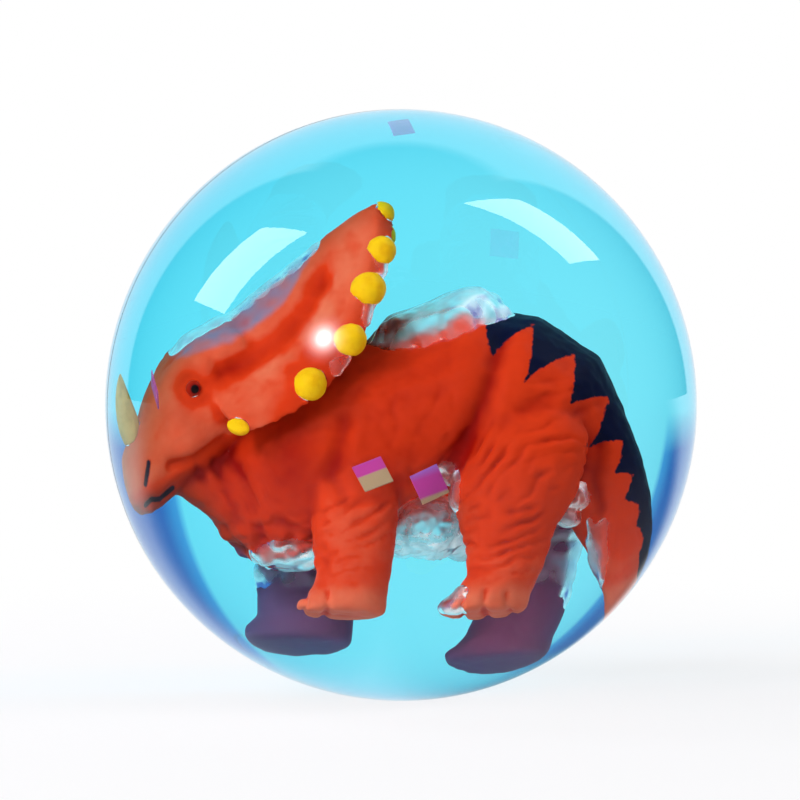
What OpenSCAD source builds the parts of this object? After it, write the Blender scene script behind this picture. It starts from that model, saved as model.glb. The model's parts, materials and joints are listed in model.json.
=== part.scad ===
// Bouncing ball of clear rubber, half of it tinted blue, cast round a painted horned dinosaur.
// The origin is the ball's centre, +Z is up, the dinosaur faces -X and the clear half lies towards -Y.

/* [Ball] */
// Diameter of the ball
ball_d = 45; // [43:0.5:60]
// Depth of the V-shaped moulding seam where the halves meet
seam_depth = 0.15; // [0.05:0.05:0.4]
// Width of the seam at the ball's surface
seam_w = 0.3; // [0.1:0.05:0.8]
// Turn of the parting plane from the dinosaur's own plane, about Z, in degrees
seam_turn = 12; // [0:1:14]
// Tilt of the parting plane from upright, about X, in degrees
seam_tilt = 4; // [0:1:5]

/* [Body] */
// Length of the body from the breast to the hips
body_l = 18; // [16:0.5:19]
// Height of the body at the hips
body_h = 10.5; // [9:0.25:11.5]
// Width of the body at the ribs
body_w = 9.8; // [8.5:0.1:11]
// Distance of the breast in front of the ball's centre
breast_reach = 9.4; // [8.5:0.1:10]
// Height of the hips' centre over the soles
hip_rise = 11.4; // [10.6:0.1:12.1]
// Distance of the soles under the ball's centre
sole_drop = 11.8; // [10.6:0.1:12.6]

/* [Tail] */
// Length of the tail along its curve
tail_l = 14.5; // [11:0.25:15]
// Thickness of the tail where it leaves the hips
tail_d = 8; // [7:0.1:8.6]
// Slope of the tail at its root, in degrees below level
tail_slope_root = 44; // [36:1:52]
// Slope of the tail at its tip, in degrees below level
tail_slope_tip = 86; // [74:1:92]

/* [Head] */
// Length of the head from the beak to the back of the skull
head_l = 11.4; // [10:0.1:12]
// Height of the head at the cheeks
head_h = 6.3; // [5.4:0.1:7]
// Width of the head at the cheeks
head_w = 6.3; // [5.4:0.1:7]
// Slope of the face, in degrees
head_pitch = 37.5; // [32:0.5:42]
// Diameter of an eye
eye_d = 1.1; // [0.8:0.1:1.5]

/* [Frill] */
// Length of the frill along its ridge
frill_l = 13.4; // [12:0.1:14]
// Width of the frill at its widest
frill_w = 10.6; // [9:0.1:12]
// Distance that the frill's edges hang below its ridge
frill_drop = 4.8; // [4:0.1:5.6]
// Thickness of the frill
frill_t = 1.5; // [1.1:0.1:1.9]
// Slope of the frill's ridge, in degrees
frill_pitch = 36; // [32:1:40]
// Diameter of the largest stud on the frill's edge
stud_d = 2.1; // [1.8:0.1:2.5]
// Distance that a stud stands out of the edge
stud_reach = 0.75; // [0.5:0.05:1.1]

/* [Horns] */
// Length of the nose horn
nose_horn_l = 3.7; // [3:0.1:4.4]
// Thickness of the nose horn at its root
nose_horn_d = 1.9; // [1.5:0.1:2.3]
// Length of a cheek spike
cheek_spike_l = 1.7; // [1.3:0.1:2.2]
// Thickness of a cheek spike
cheek_spike_d = 1; // [0.8:0.1:1.4]

/* [Legs] */
// Height of a front leg from its shoulder to its sole
front_leg_h = 9.4; // [8.6:0.1:10]
// Size of a front leg from front to back
front_leg_l = 4.5; // [3.8:0.1:5.2]
// Width of a front leg
front_leg_w = 3.5; // [3:0.1:4]
// Height of a hind leg from the hip to its sole
hind_leg_h = 12.2; // [11.4:0.1:12.8]
// Size of a thigh from front to back
hind_leg_l = 7.8; // [6.8:0.1:8.4]
// Width of a hind leg
hind_leg_w = 4; // [3.4:0.1:4.4]
// Distance between the centres of a left and a right foot
stance_w = 8; // [7.2:0.1:8.8]
// Distance that the far front leg steps ahead of the near one
step_l = 1.5; // [0:0.1:2.5]

/* [Paint and glitter] */
// Thickness of the dark coat on the back
coat_t = 0.2; // [0.1:0.05:0.4]
// Number of points along each edge of the dark coat
coat_points = 8; // [5:1:10]
// Size of a square glitter flake
flake_w = 1.8; // [1:0.1:2.4]
// Thickness of a glitter flake
flake_t = 0.1; // [0.05:0.05:0.2]

/* [Hidden] */

clear_blue = [0.86, 0.95, 1, 0.3];
tint_blue = [0.1, 0.62, 0.9, 0.45];
skin_orange = [0.87, 0.25, 0.1];
coat_navy = [0.04, 0.06, 0.16];
horn_yellow = [0.98, 0.78, 0.08];
eye_black = [0.04, 0.02, 0.02];
flake_pink = [0.8, 0.45, 0.7];

near = -1;
far = 1;
ball_fn = 96;
eye_fn = 24;
// How far a cutting shape runs past what it cuts
overrun = 1;

// Points round a ring of the body or head, of a leg, and of a knob or horn
body_sides = 20;
limb_sides = 16;
knob_sides = 12;

// Directions along and across a path in the XZ plane that climbs at pitch degrees
function climb(pitch) = [cos(pitch), 0, sin(pitch)];
function across(pitch) = [-sin(pitch), 0, cos(pitch)];
// A ring of points round a centre, square to such a path.
// rise is the ring's half size across the path in the XZ plane, and half_w its half size along Y.
function ring(centre, pitch, rise, half_w, sides) =
    [for (i = [0:sides - 1])
        let (turn = -360 * (i + 0.5) / sides)
        centre + across(pitch) * rise * sin(turn) + [0, half_w * cos(turn), 0]];

function unit(v) = v / norm(v);

// The row of a list at a count between two of its rows
function row_of(rows, count) =
    let (i = min(floor(count), len(rows) - 2))
    rows[i] + (rows[i + 1] - rows[i]) * (count - i);

// The row of a list at a place between two of its rows, where each row starts with its own place
function row_at(rows, place) =
    let (i = max([for (k = [0:len(rows) - 2]) rows[k][0] <= place ? k : 0]))
    row_of(rows, i + (place - rows[i][0]) / (rows[i + 1][0] - rows[i][0]));

// A closed skin over a list of rings that all have the same even number of points.
// The caps are strips between a ring's two halves, so a ring may also be a thin arch.
module skin(rings) {
    sides = len(rings[0]);
    last = (len(rings) - 1) * sides;
    walls = [for (r = [0:len(rings) - 2], i = [0:sides - 1])
        let (a = r * sides + i, b = r * sides + (i + 1) % sides)
        each [[a, b, a + sides], [b, b + sides, a + sides]]];
    strip = [for (i = [0:sides / 2 - 2])
        each [[i, sides - 1 - i, i + 1], [i + 1, sides - 1 - i, sides - 2 - i]]];
    far_cap = [for (face = strip) [last + face[0], last + face[2], last + face[1]]];
    polyhedron(points = [for (one = rings) each one], faces = concat(strip, walls, far_cap));
}

// Body and tail
// Each row: place along the body, rise of the centre, half height, half width, slope of the ring in degrees.
// The first rows are the throat, in front of the breast.
body_row_shares = [
    [-0.155, -0.376, 0.03, 0.06, 4],
    [-0.12, -0.371, 0.12, 0.18, 4],
    [-0.045, -0.375, 0.27, 0.33, 4],
    [0.02, -0.42, 0.48, 0.41, 4],
    [0.09, -0.37, 0.80, 0.65, 6],
    [0.22, -0.28, 1.00, 0.84, 6],
    [0.39, -0.17, 0.98, 0.96, 5],
    [0.57, -0.055, 0.91, 1.00, 4],
    [0.72, 0.02, 1.00, 1.00, 0],
    [0.86, 0, 0.97, 0.96, -12],
    [0.98, -0.075, 0.81, 0.85, -30]];
// Half thickness and half width of the tail at even steps along it
tail_taper_shares = [0.78, 0.68, 0.61, 0.54, 0.47, 0.39, 0.27, 0.07];
tail_flat_share = 0.84;
tail_bend_share = 0.75;
tail_steps = len(tail_taper_shares);

// The breast's place, at the height of the hips' centre
breast = [-breast_reach, 0, hip_rise - sole_drop];
function body_row(s) =
    [breast + [body_l * s[0], 0, body_h * s[1]], s[4], body_h / 2 * s[2], body_w / 2 * s[3]];
function tail_slope(i) =
    -(tail_slope_root + (tail_slope_tip - tail_slope_root) * pow(i / tail_steps, tail_bend_share));
function tail_place(i) =
    i == 0 ? body_row(body_row_shares[len(body_row_shares) - 1])[0]
           : tail_place(i - 1) + climb(tail_slope(i - 0.5)) * tail_l / tail_steps;
function tail_row(i) =
    let (half = tail_d / 2 * tail_taper_shares[i - 1])
    [tail_place(i), tail_slope(i), half, half * tail_flat_share];
body_rows = concat([for (s = body_row_shares) body_row(s)], [for (i = [1:tail_steps]) tail_row(i)]);

// The least share of a ring that is left under the dark coat
core_share = 0.2;

// The body's skin, or the core that is left under a coat
module body_form(coat = 0) {
    skin([for (row = body_rows)
        ring(row[0], row[1], max(row[2] - coat, row[2] * core_share), max(row[3] - coat, row[3] * core_share),
            body_sides)]);
}

// A point in the body's side view, at a row of the body and a height from -1 at the belly to 1 at the back
function flank(at, height) = let (row = row_of(body_rows, at)) row[0] + across(row[1]) * row[2] * height;

// Dark coat: a thin layer flush with the skin of the back and the tail, with a pointed lower edge
coat_start_row = 8.6;
coat_end_row = len(body_rows) - 1.4;
coat_deep_shares = [0.32, 0.12];
coat_shallow_shares = [0.78, 0.66];
coat_lean_share = 0.35;
function blend(shares, t) = shares[0] + (shares[1] - shares[0]) * t;
function coat_row(t) = coat_start_row + (coat_end_row - coat_start_row) * t;
function side_view(point) = [point.x, point.z];

module coat_region() {
    tooth = 1 / coat_points;
    edge = [for (i = [0:coat_points - 1])
        let (t = i * tooth)
        each [side_view(flank(coat_row(t), blend(coat_deep_shares, t))),
              side_view(flank(coat_row(t + tooth * coat_lean_share), blend(coat_shallow_shares, t)))]];
    outside = [for (row = [len(body_rows) - 1:-1:floor(coat_start_row) + 1])
        side_view(body_rows[row][0] + across(body_rows[row][1]) * (body_rows[row][2] + overrun))];
    start = row_of(body_rows, coat_start_row);
    rotate([90, 0, 0])
        linear_extrude(height = body_w + 2 * overrun, center = true)
            polygon(concat(edge, [side_view(flank(coat_end_row, 1))], outside,
                [side_view(start[0] + across(start[1]) * (start[2] + overrun))]));
}

module coat_bed() {
    difference() {
        coat_region();
        body_form(coat_t);
    }
}

// Head, from the beak to the back of the skull
// Each row: place along the head, rise of the centre, half height, half width
head_row_shares = [
    [0.00, -0.16, 0.05, 0.04],
    [0.02, -0.16, 0.24, 0.20],
    [0.06, -0.12, 0.43, 0.33],
    [0.14, -0.065, 0.60, 0.47],
    [0.25, -0.055, 0.68, 0.60],
    [0.37, -0.01, 0.73, 0.73],
    [0.49, 0.04, 0.86, 0.89],
    [0.64, 0.08, 0.94, 0.98],
    [0.82, 0.11, 1.00, 1.00],
    [1.00, 0.10, 0.90, 0.92]];
// Where the back of the skull lies from the breast, along the body and up
skull_shares = [0.117, 0.22];
skull = breast + [body_l * skull_shares[0], 0, body_h * skull_shares[1]];
beak = skull - climb(head_pitch) * head_l;
function head_place(along, up) = beak + climb(head_pitch) * head_l * along + across(head_pitch) * head_h * up;

module head_form() {
    skin([for (s = head_row_shares)
        ring(head_place(s[0], s[1]), head_pitch, head_h / 2 * s[2], head_w / 2 * s[3], body_sides)]);
}

// A point on the cheek of the head, at a place along it and a height from -1 at the jaw to 1 at the brow
function cheek(along, height, side) =
    let (s = row_at(head_row_shares, along))
    head_place(along, s[1]) + across(head_pitch) * head_h / 2 * s[2] * height
        + [0, side * head_w / 2 * s[3] * sqrt(1 - height * height), 0];

// Frill: an arched shield whose ribs hang from a sloping ridge
// Each row: place along the ridge, half width, hang of the edges, sink of the ridge
frill_row_shares = [
    [0.00, 0.78, 0.83, 0.08],
    [0.12, 0.92, 0.94, 0.03],
    [0.30, 1.00, 1.00, 0.03],
    [0.46, 0.96, 0.97, 0.01],
    [0.62, 0.86, 0.84, 0.00],
    [0.76, 0.69, 0.57, -0.04],
    [0.89, 0.46, 0.32, -0.05],
    [0.97, 0.24, 0.12, -0.03],
    [1.00, 0.07, 0.05, -0.02]];
// How the arch falls from the ridge to its edge: 1 is a straight roof, 2 a round arch
arch_power = 1.35;
arch_points = 14;
function arch_out(i) = 2 * i / (arch_points - 1) - 1;
// Where the ridge starts from the back of the skull, along the head and up
ridge_shares = [-0.286, 0.577];
ridge = skull + climb(head_pitch) * head_l * ridge_shares[0] + across(head_pitch) * head_h * ridge_shares[1];

// A point on a rib, from -1 at one edge to 1 at the other
function rib(s, out) =
    ridge + climb(frill_pitch) * frill_l * s[0]
        + across(frill_pitch) * -frill_drop * (s[3] + (s[2] - s[3]) * pow(abs(out), arch_power))
        + [0, out * s[1] * frill_w / 2, 0];

module frill_form() {
    thin = across(frill_pitch) * -frill_t;
    skin([for (s = frill_row_shares)
        concat([for (i = [0:arch_points - 1]) rib(s, arch_out(i))],
               [for (i = [arch_points - 1:-1:0]) rib(s, arch_out(i)) + thin])]);
}

// Studs along the frill's edge, for each side, and one at the top
// Each row: place along the ridge, diameter
stud_shares = [[0.36, 0.97], [0.6, 0.95], [0.78, 1], [0.91, 0.82]];
top_stud_share = 0.7;
stud_root_share = 0.5;
// From the frill's outer face to the roots of its studs and spikes
half_frill = across(frill_pitch) * -frill_t * stud_root_share;

// A rounded peg that stands out of its root by reach, and sinks behind the root by its own radius.
// Each row: place from the sunk end to the tip, half thickness
knob_shares = [
    [0, 0.5], [0.12, 0.8], [0.3, 0.98], [0.5, 1], [0.7, 0.88], [0.87, 0.6], [0.97, 0.28], [1, 0.06]];

module knob(root, way, reach, d) {
    sideways = unit(cross(way, [way.z, way.x, way.y]));
    upright = cross(way, sideways);
    skin([for (s = knob_shares)
        [for (i = [0:knob_sides - 1])
            let (turn = -360 * (i + 0.5) / knob_sides)
            root + way * ((reach + d / 2) * s[0] - d / 2)
                + (sideways * cos(turn) + upright * sin(turn)) * d / 2 * s[1]]]);
}

module studs_form() {
    for (stud = stud_shares, side = [near, far]) {
        s = row_at(frill_row_shares, stud[0]);
        edge = rib(s, side);
        way = unit(edge - rib(s, side * arch_out(arch_points - 2)));
        knob(edge + half_frill, way, stud_reach, stud_d * stud[1]);
    }
    top = rib(frill_row_shares[len(frill_row_shares) - 1], 0);
    knob(top + half_frill, climb(frill_pitch), stud_reach * top_stud_share, stud_d * top_stud_share);
}

// Nose horn: a curved cone that leans forward
horn_seat_share = 0.27;
horn_lean_root = 126;
horn_lean_tip = 98;
horn_taper_shares = [0.8, 0.92, 1, 0.98, 0.88, 0.72, 0.48, 0.12];
horn_steps = len(horn_taper_shares) - 1;
horn_sink_share = 0.2;
function horn_lean(i) = horn_lean_root + (horn_lean_tip - horn_lean_root) * i / horn_steps;
function horn_place(i) =
    i == 0 ? let (s = row_at(head_row_shares, horn_seat_share))
             head_place(horn_seat_share, s[1]) + across(head_pitch) * head_h / 2 * s[2]
                 - climb(horn_lean(0)) * nose_horn_l * horn_sink_share
           : horn_place(i - 1) + climb(horn_lean(i - 0.5)) * nose_horn_l * (1 + horn_sink_share) / horn_steps;

module nose_horn_form() {
    skin([for (i = [0:horn_steps])
        let (half = nose_horn_d / 2 * horn_taper_shares[i])
        ring(horn_place(i), horn_lean(i), half, half, knob_sides)]);
}

// Cheek spikes and eyes
spike_along_share = 0.005;
spike_way = [0.5, 0.8, -0.2];
eye_along_share = 0.66;
eye_height_share = 0.42;
eye_sink_share = 0.2;

module cheek_spike_form(side) {
    corner = rib(row_at(frill_row_shares, spike_along_share), side);
    way = unit([spike_way.x, side * spike_way.y, spike_way.z]);
    knob(corner + half_frill, way, cheek_spike_l - cheek_spike_d / 2, cheek_spike_d);
}

module eye_form(side) {
    translate(cheek(eye_along_share, eye_height_share, side) - [0, side * eye_d * eye_sink_share, 0])
        sphere(d = eye_d, $fn = eye_fn);
}

// Legs, from the shoulder or hip down to the sole
// Each row: place down the leg, shift forward, half size from front to back, half width, shift inward
front_leg_shares = [
    [0.00, 0.00, 0.50, 0.40, 0.50],
    [0.07, 0.00, 0.88, 0.78, 0.44],
    [0.20, 0.00, 1.06, 0.96, 0.34],
    [0.38, 0.00, 1.06, 0.98, 0.22],
    [0.56, 0.01, 0.99, 0.93, 0.10],
    [0.72, 0.03, 0.93, 0.92, 0.03],
    [0.83, 0.09, 0.97, 0.98, 0.00],
    [0.90, 0.19, 1.14, 1.10, 0.00],
    [0.96, 0.22, 1.19, 1.14, 0.00],
    [1.00, 0.21, 1.08, 1.04, 0.00]];
hind_leg_shares = [
    [0.00, -0.02, 0.40, 0.36, 0.40],
    [0.07, -0.02, 0.74, 0.74, 0.36],
    [0.18, 0.00, 0.96, 1.00, 0.28],
    [0.31, 0.03, 1.00, 1.08, 0.20],
    [0.45, 0.07, 0.90, 1.00, 0.12],
    [0.58, 0.11, 0.71, 0.90, 0.06],
    [0.70, 0.11, 0.62, 0.84, 0.03],
    [0.81, 0.13, 0.55, 0.84, 0.00],
    [0.89, 0.22, 0.61, 0.93, 0.00],
    [0.96, 0.31, 0.76, 1.02, 0.00],
    [1.00, 0.30, 0.70, 0.95, 0.00]];
front_leg_along_share = 0.385;
hind_leg_along_share = 0.9;
straight_down = -90;

module leg_form(shares, along, h, l, w, side, ahead) {
    skin([for (s = shares)
        ring([breast.x + body_l * along - l * s[1] - ahead, side * (stance_w / 2 - w / 2 * s[4]),
              -sole_drop + h * (1 - s[0])],
            straight_down, l / 2 * s[2], w / 2 * s[3], limb_sides)]);
}

module front_leg_form(side) {
    leg_form(front_leg_shares, front_leg_along_share, front_leg_h, front_leg_l, front_leg_w, side,
        side == far ? step_l : 0);
}

module hind_leg_form(side) {
    leg_form(hind_leg_shares, hind_leg_along_share, hind_leg_h, hind_leg_l, hind_leg_w, side, 0);
}

// The figure as the hollow that it leaves in the rubber
module figure() {
    body_form();
    head_form();
    frill_form();
    studs_form();
    nose_horn_form();
    for (side = [near, far]) {
        cheek_spike_form(side);
        eye_form(side);
        front_leg_form(side);
        hind_leg_form(side);
    }
}

// Glitter flakes, all in the clear half
// Places from the ball's centre as shares of its radius, and turns about X, Y and Z in degrees
flake_place_shares = [
    [-0.072, -0.33, -0.165],
    [0.072, -0.30, -0.19],
    [0.00, -0.12, 0.78],
    [-0.66, -0.22, 0.05],
    [0.28, -0.36, 0.45]];
flake_turns = [[58, -21, 12], [84, -24, 24], [62, 8, 44], [70, 34, 70], [84, 6, 12]];

module flakes() {
    for (i = [0:len(flake_place_shares) - 1])
        translate(flake_place_shares[i] * ball_d / 2)
            rotate(flake_turns[i])
                cube([flake_w, flake_w, flake_t], center = true);
}

// Half of the ball, with half of the seam's groove round its rim
module half_ball(side) {
    rotate([seam_tilt, 0, seam_turn])
        difference() {
            intersection() {
                rotate([90, 0, 0]) sphere(d = ball_d, $fn = ball_fn);
                translate([0, side * ball_d / 2, 0]) cube(ball_d, center = true);
            }
            rotate([90, 0, 0])
                rotate_extrude($fn = ball_fn)
                    polygon([[ball_d / 2 - seam_depth, 0], [ball_d / 2 + seam_depth, seam_w],
                             [ball_d / 2 + seam_depth, -seam_w]]);
        }
}

module clear_half() {
    color(clear_blue)
        difference() {
            half_ball(near);
            figure();
            flakes();
        }
}

module blue_half() {
    color(tint_blue)
        difference() {
            half_ball(far);
            figure();
        }
}

module body() {
    color(skin_orange)
        difference() {
            body_form();
            coat_bed();
        }
}

module back_coat() {
    color(coat_navy)
        intersection() {
            body_form();
            coat_bed();
        }
}

module head() {
    color(skin_orange)
        difference() {
            head_form();
            body_form();
        }
}

module frill() {
    color(skin_orange)
        difference() {
            frill_form();
            body_form();
            head_form();
        }
}

module frill_studs() {
    color(horn_yellow)
        difference() {
            studs_form();
            frill_form();
            body_form();
        }
}

module nose_horn() {
    color(horn_yellow)
        difference() {
            nose_horn_form();
            head_form();
        }
}

module cheek_spikes() {
    color(horn_yellow)
        difference() {
            for (side = [near, far]) cheek_spike_form(side);
            head_form();
            frill_form();
            body_form();
        }
}

module eyes() {
    color(eye_black)
        difference() {
            for (side = [near, far]) eye_form(side);
            head_form();
            frill_form();
        }
}

module front_leg(side) {
    color(skin_orange)
        difference() {
            front_leg_form(side);
            body_form();
        }
}

module hind_leg(side) {
    color(skin_orange)
        difference() {
            hind_leg_form(side);
            body_form();
        }
}

module glitter_flakes() {
    color(flake_pink) flakes();
}

clear_half();
blue_half();
body();
back_coat();
head();
frill();
frill_studs();
nose_horn();
cheek_spikes();
eyes();
front_leg(near);  // near_front_leg
front_leg(far);  // far_front_leg
hind_leg(near);  // near_hind_leg
hind_leg(far);  // far_hind_leg
glitter_flakes();
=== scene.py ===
"""Dresses a bouncing ball, half clear and half blue rubber, cast round a painted toy dinosaur."""

import json
import logging
import math
from dataclasses import dataclass
from enum import Enum
from typing import Any, Iterable, Sequence

import bmesh
import bpy
import numpy as np
from mathutils import Matrix, Vector, kdtree, noise


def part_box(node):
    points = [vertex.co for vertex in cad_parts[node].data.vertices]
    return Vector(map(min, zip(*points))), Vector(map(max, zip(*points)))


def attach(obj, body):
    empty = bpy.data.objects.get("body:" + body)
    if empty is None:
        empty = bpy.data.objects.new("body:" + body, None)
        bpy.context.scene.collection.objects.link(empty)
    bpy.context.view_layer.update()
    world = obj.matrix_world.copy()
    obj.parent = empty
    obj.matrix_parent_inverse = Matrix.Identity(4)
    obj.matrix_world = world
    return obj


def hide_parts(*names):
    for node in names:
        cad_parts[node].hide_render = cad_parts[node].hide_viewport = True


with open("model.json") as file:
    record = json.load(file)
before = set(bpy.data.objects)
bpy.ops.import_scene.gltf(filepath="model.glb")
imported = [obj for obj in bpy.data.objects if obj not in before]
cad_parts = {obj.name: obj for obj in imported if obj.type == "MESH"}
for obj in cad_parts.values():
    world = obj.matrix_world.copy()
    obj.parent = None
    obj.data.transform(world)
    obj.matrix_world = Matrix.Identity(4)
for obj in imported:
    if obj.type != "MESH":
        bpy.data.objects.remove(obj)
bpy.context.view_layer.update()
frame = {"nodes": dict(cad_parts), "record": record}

LOG = logging.getLogger("bouncy_ball")
MM = 0.001
IMAGE_PX = 800
BODY = "root"
WHITE = (1.0, 1.0, 1.0, 1.0)

# Sockets of a Mix node that mixes colours: its two inputs and its output
MIX_A, MIX_B, MIX_COLOUR = 6, 7, 2
# Vector sums whose result is a number
NUMBER_SUMS = ("DOT_PRODUCT", "DISTANCE", "LENGTH")
# Points of a solid that lie closer than this are one point
MERGE_MM = 0.001
# How far each round of smoothing moves a point towards its neighbours
SMOOTH_FACTOR = 0.5

Edge = tuple[float, float]
Line = tuple[tuple[float, float], ...]
Point = tuple[float, float, float]
Socket = bpy.types.NodeSocket


class Side(Enum):
    """The side of the dinosaur that faces the clear half, or the one that faces the blue half."""

    NEAR = -1.0
    FAR = 1.0


def linear(code: str) -> tuple[float, float, float, float]:
    """Turns an sRGB hex colour into linear values.

    Args:
        code: The colour, such as "#D2502C".

    Returns:
        Red, green, blue and an alpha of 1.
    """
    parts = [int(code[i:i + 2], 16) / 255 for i in (1, 3, 5)]
    red, green, blue = [p / 12.92 if p <= 0.04045 else ((p + 0.055) / 1.055) ** 2.4 for p in parts]
    return red, green, blue, 1.0


# Nodes


@dataclass(frozen=True)
class Shader:
    """A node tree that is being built. An input is given as a value, or as the socket that feeds it."""

    tree: bpy.types.NodeTree

    @classmethod
    def on(cls, owner: Any) -> "Shader":
        """Starts the nodes of something anew.

        Args:
            owner: The material, light or world.

        Returns:
            Its empty node tree.
        """
        owner.use_nodes = True
        owner.node_tree.nodes.clear()
        return cls(owner.node_tree)

    def add(self, kind: str, inputs: dict[str | int, Any] | None = None, **settings: Any) -> bpy.types.Node:
        """Adds a node.

        Args:
            kind: The node's type, without the start that all types share.
            inputs: What goes into the input sockets, by their names or numbers.
            settings: Properties of the node itself.

        Returns:
            The new node.
        """
        node = self.tree.nodes.new("ShaderNode" + kind)
        for name, value in settings.items():
            setattr(node, name, value)
        for socket, value in (inputs or {}).items():
            if isinstance(value, Socket):
                self.tree.links.new(value, node.inputs[socket])
            else:
                node.inputs[socket].default_value = value
        return node

    def math(self, operation: str, *terms: Any) -> Socket:
        """Adds a sum on numbers, and returns its result."""
        return self.add("Math", dict(enumerate(terms)), operation=operation).outputs[0]

    def vector_math(self, operation: str, *terms: Any) -> Socket:
        """Adds a sum on vectors, and returns its result."""
        node = self.add("VectorMath", dict(enumerate(terms)), operation=operation)
        return node.outputs["Value" if operation in NUMBER_SUMS else "Vector"]

    def spread(
        self, value: Socket, span: Edge, ends: Edge = (0.0, 1.0), smooth: bool = False,
    ) -> Socket:
        """Spreads a span of values between two ends.

        Args:
            value: The socket with the value.
            span: Where the span starts and stops.
            ends: What comes out up to its start, and from its stop on.
            smooth: Whether it starts and stops softly.

        Returns:
            The result's socket.
        """
        inputs = {
            "Value": value, "From Min": span[0], "From Max": span[1], "To Min": ends[0], "To Max": ends[1]}
        kind = "SMOOTHSTEP" if smooth else "LINEAR"
        return self.add("MapRange", inputs, interpolation_type=kind).outputs["Result"]

    def mix(self, share: Socket, first: Any, second: Any) -> Socket:
        """Mixes two colours by the second one's share."""
        inputs = {0: share, MIX_A: first, MIX_B: second}
        return self.add("Mix", inputs, data_type="RGBA").outputs[MIX_COLOUR]

    def blend(self, share: Socket, first: Any, second: Any) -> Socket:
        """Blends two shaders by the second one's share."""
        return self.add("MixShader", {0: share, 1: first, 2: second}).outputs[0]

    def attribute(self, name: str) -> Socket:
        """Reads a value that the mesh keeps for each point."""
        return self.add("Attribute", attribute_name=name).outputs["Fac"]

    def place(self, kind: str = "Object") -> Socket:
        """Reads the place in the piece's own frame, or another kind of place."""
        return self.add("TexCoord").outputs[kind]

    def speckle(self, size: float, detail: float) -> Socket:
        """Adds noise with lumps of a size in millimetres."""
        inputs = {"Vector": self.place(), "Scale": 1 / (size * MM), "Detail": detail}
        return self.add("TexNoise", inputs).outputs["Fac"]

    def ramp(self, share: Socket, *stops: tuple[float, str]) -> Socket:
        """Runs from colour to colour.

        Args:
            share: The socket that says how far along the ramp.
            stops: Two or more colours in order, each with its place from 0 to 1.

        Returns:
            The colour's socket.
        """
        node = self.add("ValToRGB", {0: share})
        elements = node.color_ramp.elements
        elements[0].position, elements[1].position = stops[0][0], stops[-1][0]
        for place, _ in stops[1:-1]:
            elements.new(place)
        for element, (_, code) in zip(elements, stops):
            element.color = linear(code)
        return node.outputs["Color"]

    def paint(self, colour: Socket, roughness: float, shine: float, **more: Any) -> None:
        """Ends a material in a painted skin.

        Args:
            colour: The colour's socket.
            roughness: The skin's roughness.
            shine: Its specular level.
            more: What goes into further sockets of the skin.
        """
        inputs = {"Base Color": colour, "Roughness": roughness, "Specular IOR Level": shine, **more}
        self.add("OutputMaterial", {"Surface": self.add("BsdfPrincipled", inputs).outputs[0]})


def new_material(name: str) -> tuple[bpy.types.Material, Shader]:
    """Makes an empty node material, and returns it with its node tree."""
    material = bpy.data.materials.new(name)
    return material, Shader.on(material)


# Meshes


def new_piece(name: str, mesh: bpy.types.Mesh, material: bpy.types.Material) -> bpy.types.Object:
    """Puts a mesh into the scene as a piece with one material.

    Args:
        name: The piece's name.
        mesh: Its mesh, already in place.
        material: Its finish.

    Returns:
        The new object, at the origin.
    """
    mesh.materials.clear()
    mesh.materials.append(material)
    piece = bpy.data.objects.new(name, mesh)
    bpy.context.scene.collection.objects.link(piece)
    return piece


def settle(piece: bpy.types.Object, slot: str, *nodes: str) -> bpy.types.Object:
    """Attaches a piece to the ball's body, hides the CAD nodes that it stands for, and logs them.

    Args:
        piece: The finished piece.
        slot: The record's material slot; not used.
        nodes: The CAD nodes that the piece replaces.

    Returns:
        The same piece.
    """
    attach(piece, BODY)
    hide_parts(*nodes)
    LOG.info("%s: %d faces, stands for %s", piece.name, len(piece.data.polygons), ", ".join(nodes))
    return piece


def solid_copy(nodes: Iterable[str]) -> bmesh.types.BMesh:
    """Copies CAD nodes into one bmesh, with each node's loose triangles merged.

    Args:
        nodes: The names of the nodes.

    Returns:
        The merged copy, in metres.
    """
    shape = bmesh.new()
    for node in nodes:
        before = len(shape.verts)
        shape.from_mesh(frame["nodes"][node].data)
        shape.verts.ensure_lookup_table()
        bmesh.ops.remove_doubles(shape, verts=shape.verts[before:], dist=MERGE_MM * MM)
    return shape


def to_mesh(shape: bmesh.types.BMesh, name: str) -> bpy.types.Mesh:
    """Writes a bmesh into a new mesh with smooth faces, and frees it.

    Args:
        shape: The bmesh.
        name: The mesh's name.

    Returns:
        The new mesh.
    """
    mesh = bpy.data.meshes.new(name)
    shape.to_mesh(mesh)
    shape.free()
    mesh.polygons.foreach_set("use_smooth", [True] * len(mesh.polygons))
    return mesh


def finished_mesh(mesh: bpy.types.Mesh, modifiers: Sequence[tuple[str, dict[str, Any]]]) -> bpy.types.Mesh:
    """Runs modifiers on a mesh and keeps the result.

    Args:
        mesh: The mesh to start from, which is removed.
        modifiers: Each modifier's type and settings, in order.

    Returns:
        The mesh after the modifiers.
    """
    bench = bpy.data.objects.new(mesh.name, mesh)
    bpy.context.scene.collection.objects.link(bench)
    for kind, settings in modifiers:
        modifier = bench.modifiers.new(kind.title(), kind)
        for name, value in settings.items():
            setattr(modifier, name, value)
    graph = bpy.context.evaluated_depsgraph_get()
    result = bpy.data.meshes.new_from_object(bench.evaluated_get(graph))
    result.name = mesh.name
    bpy.data.objects.remove(bench)
    bpy.data.meshes.remove(mesh)
    result.polygons.foreach_set("use_smooth", [True] * len(result.polygons))
    return result


def fused(mesh: bpy.types.Mesh, voxel: float, rounds: int) -> bpy.types.Mesh:
    """Fuses a mesh, which is removed, into even faces of a size in millimetres and smooths them."""
    return finished_mesh(mesh, [
        ("REMESH", {"mode": "VOXEL", "voxel_size": voxel * MM}),
        ("SMOOTH", {"factor": SMOOTH_FACTOR, "iterations": rounds}),
    ])


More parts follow.
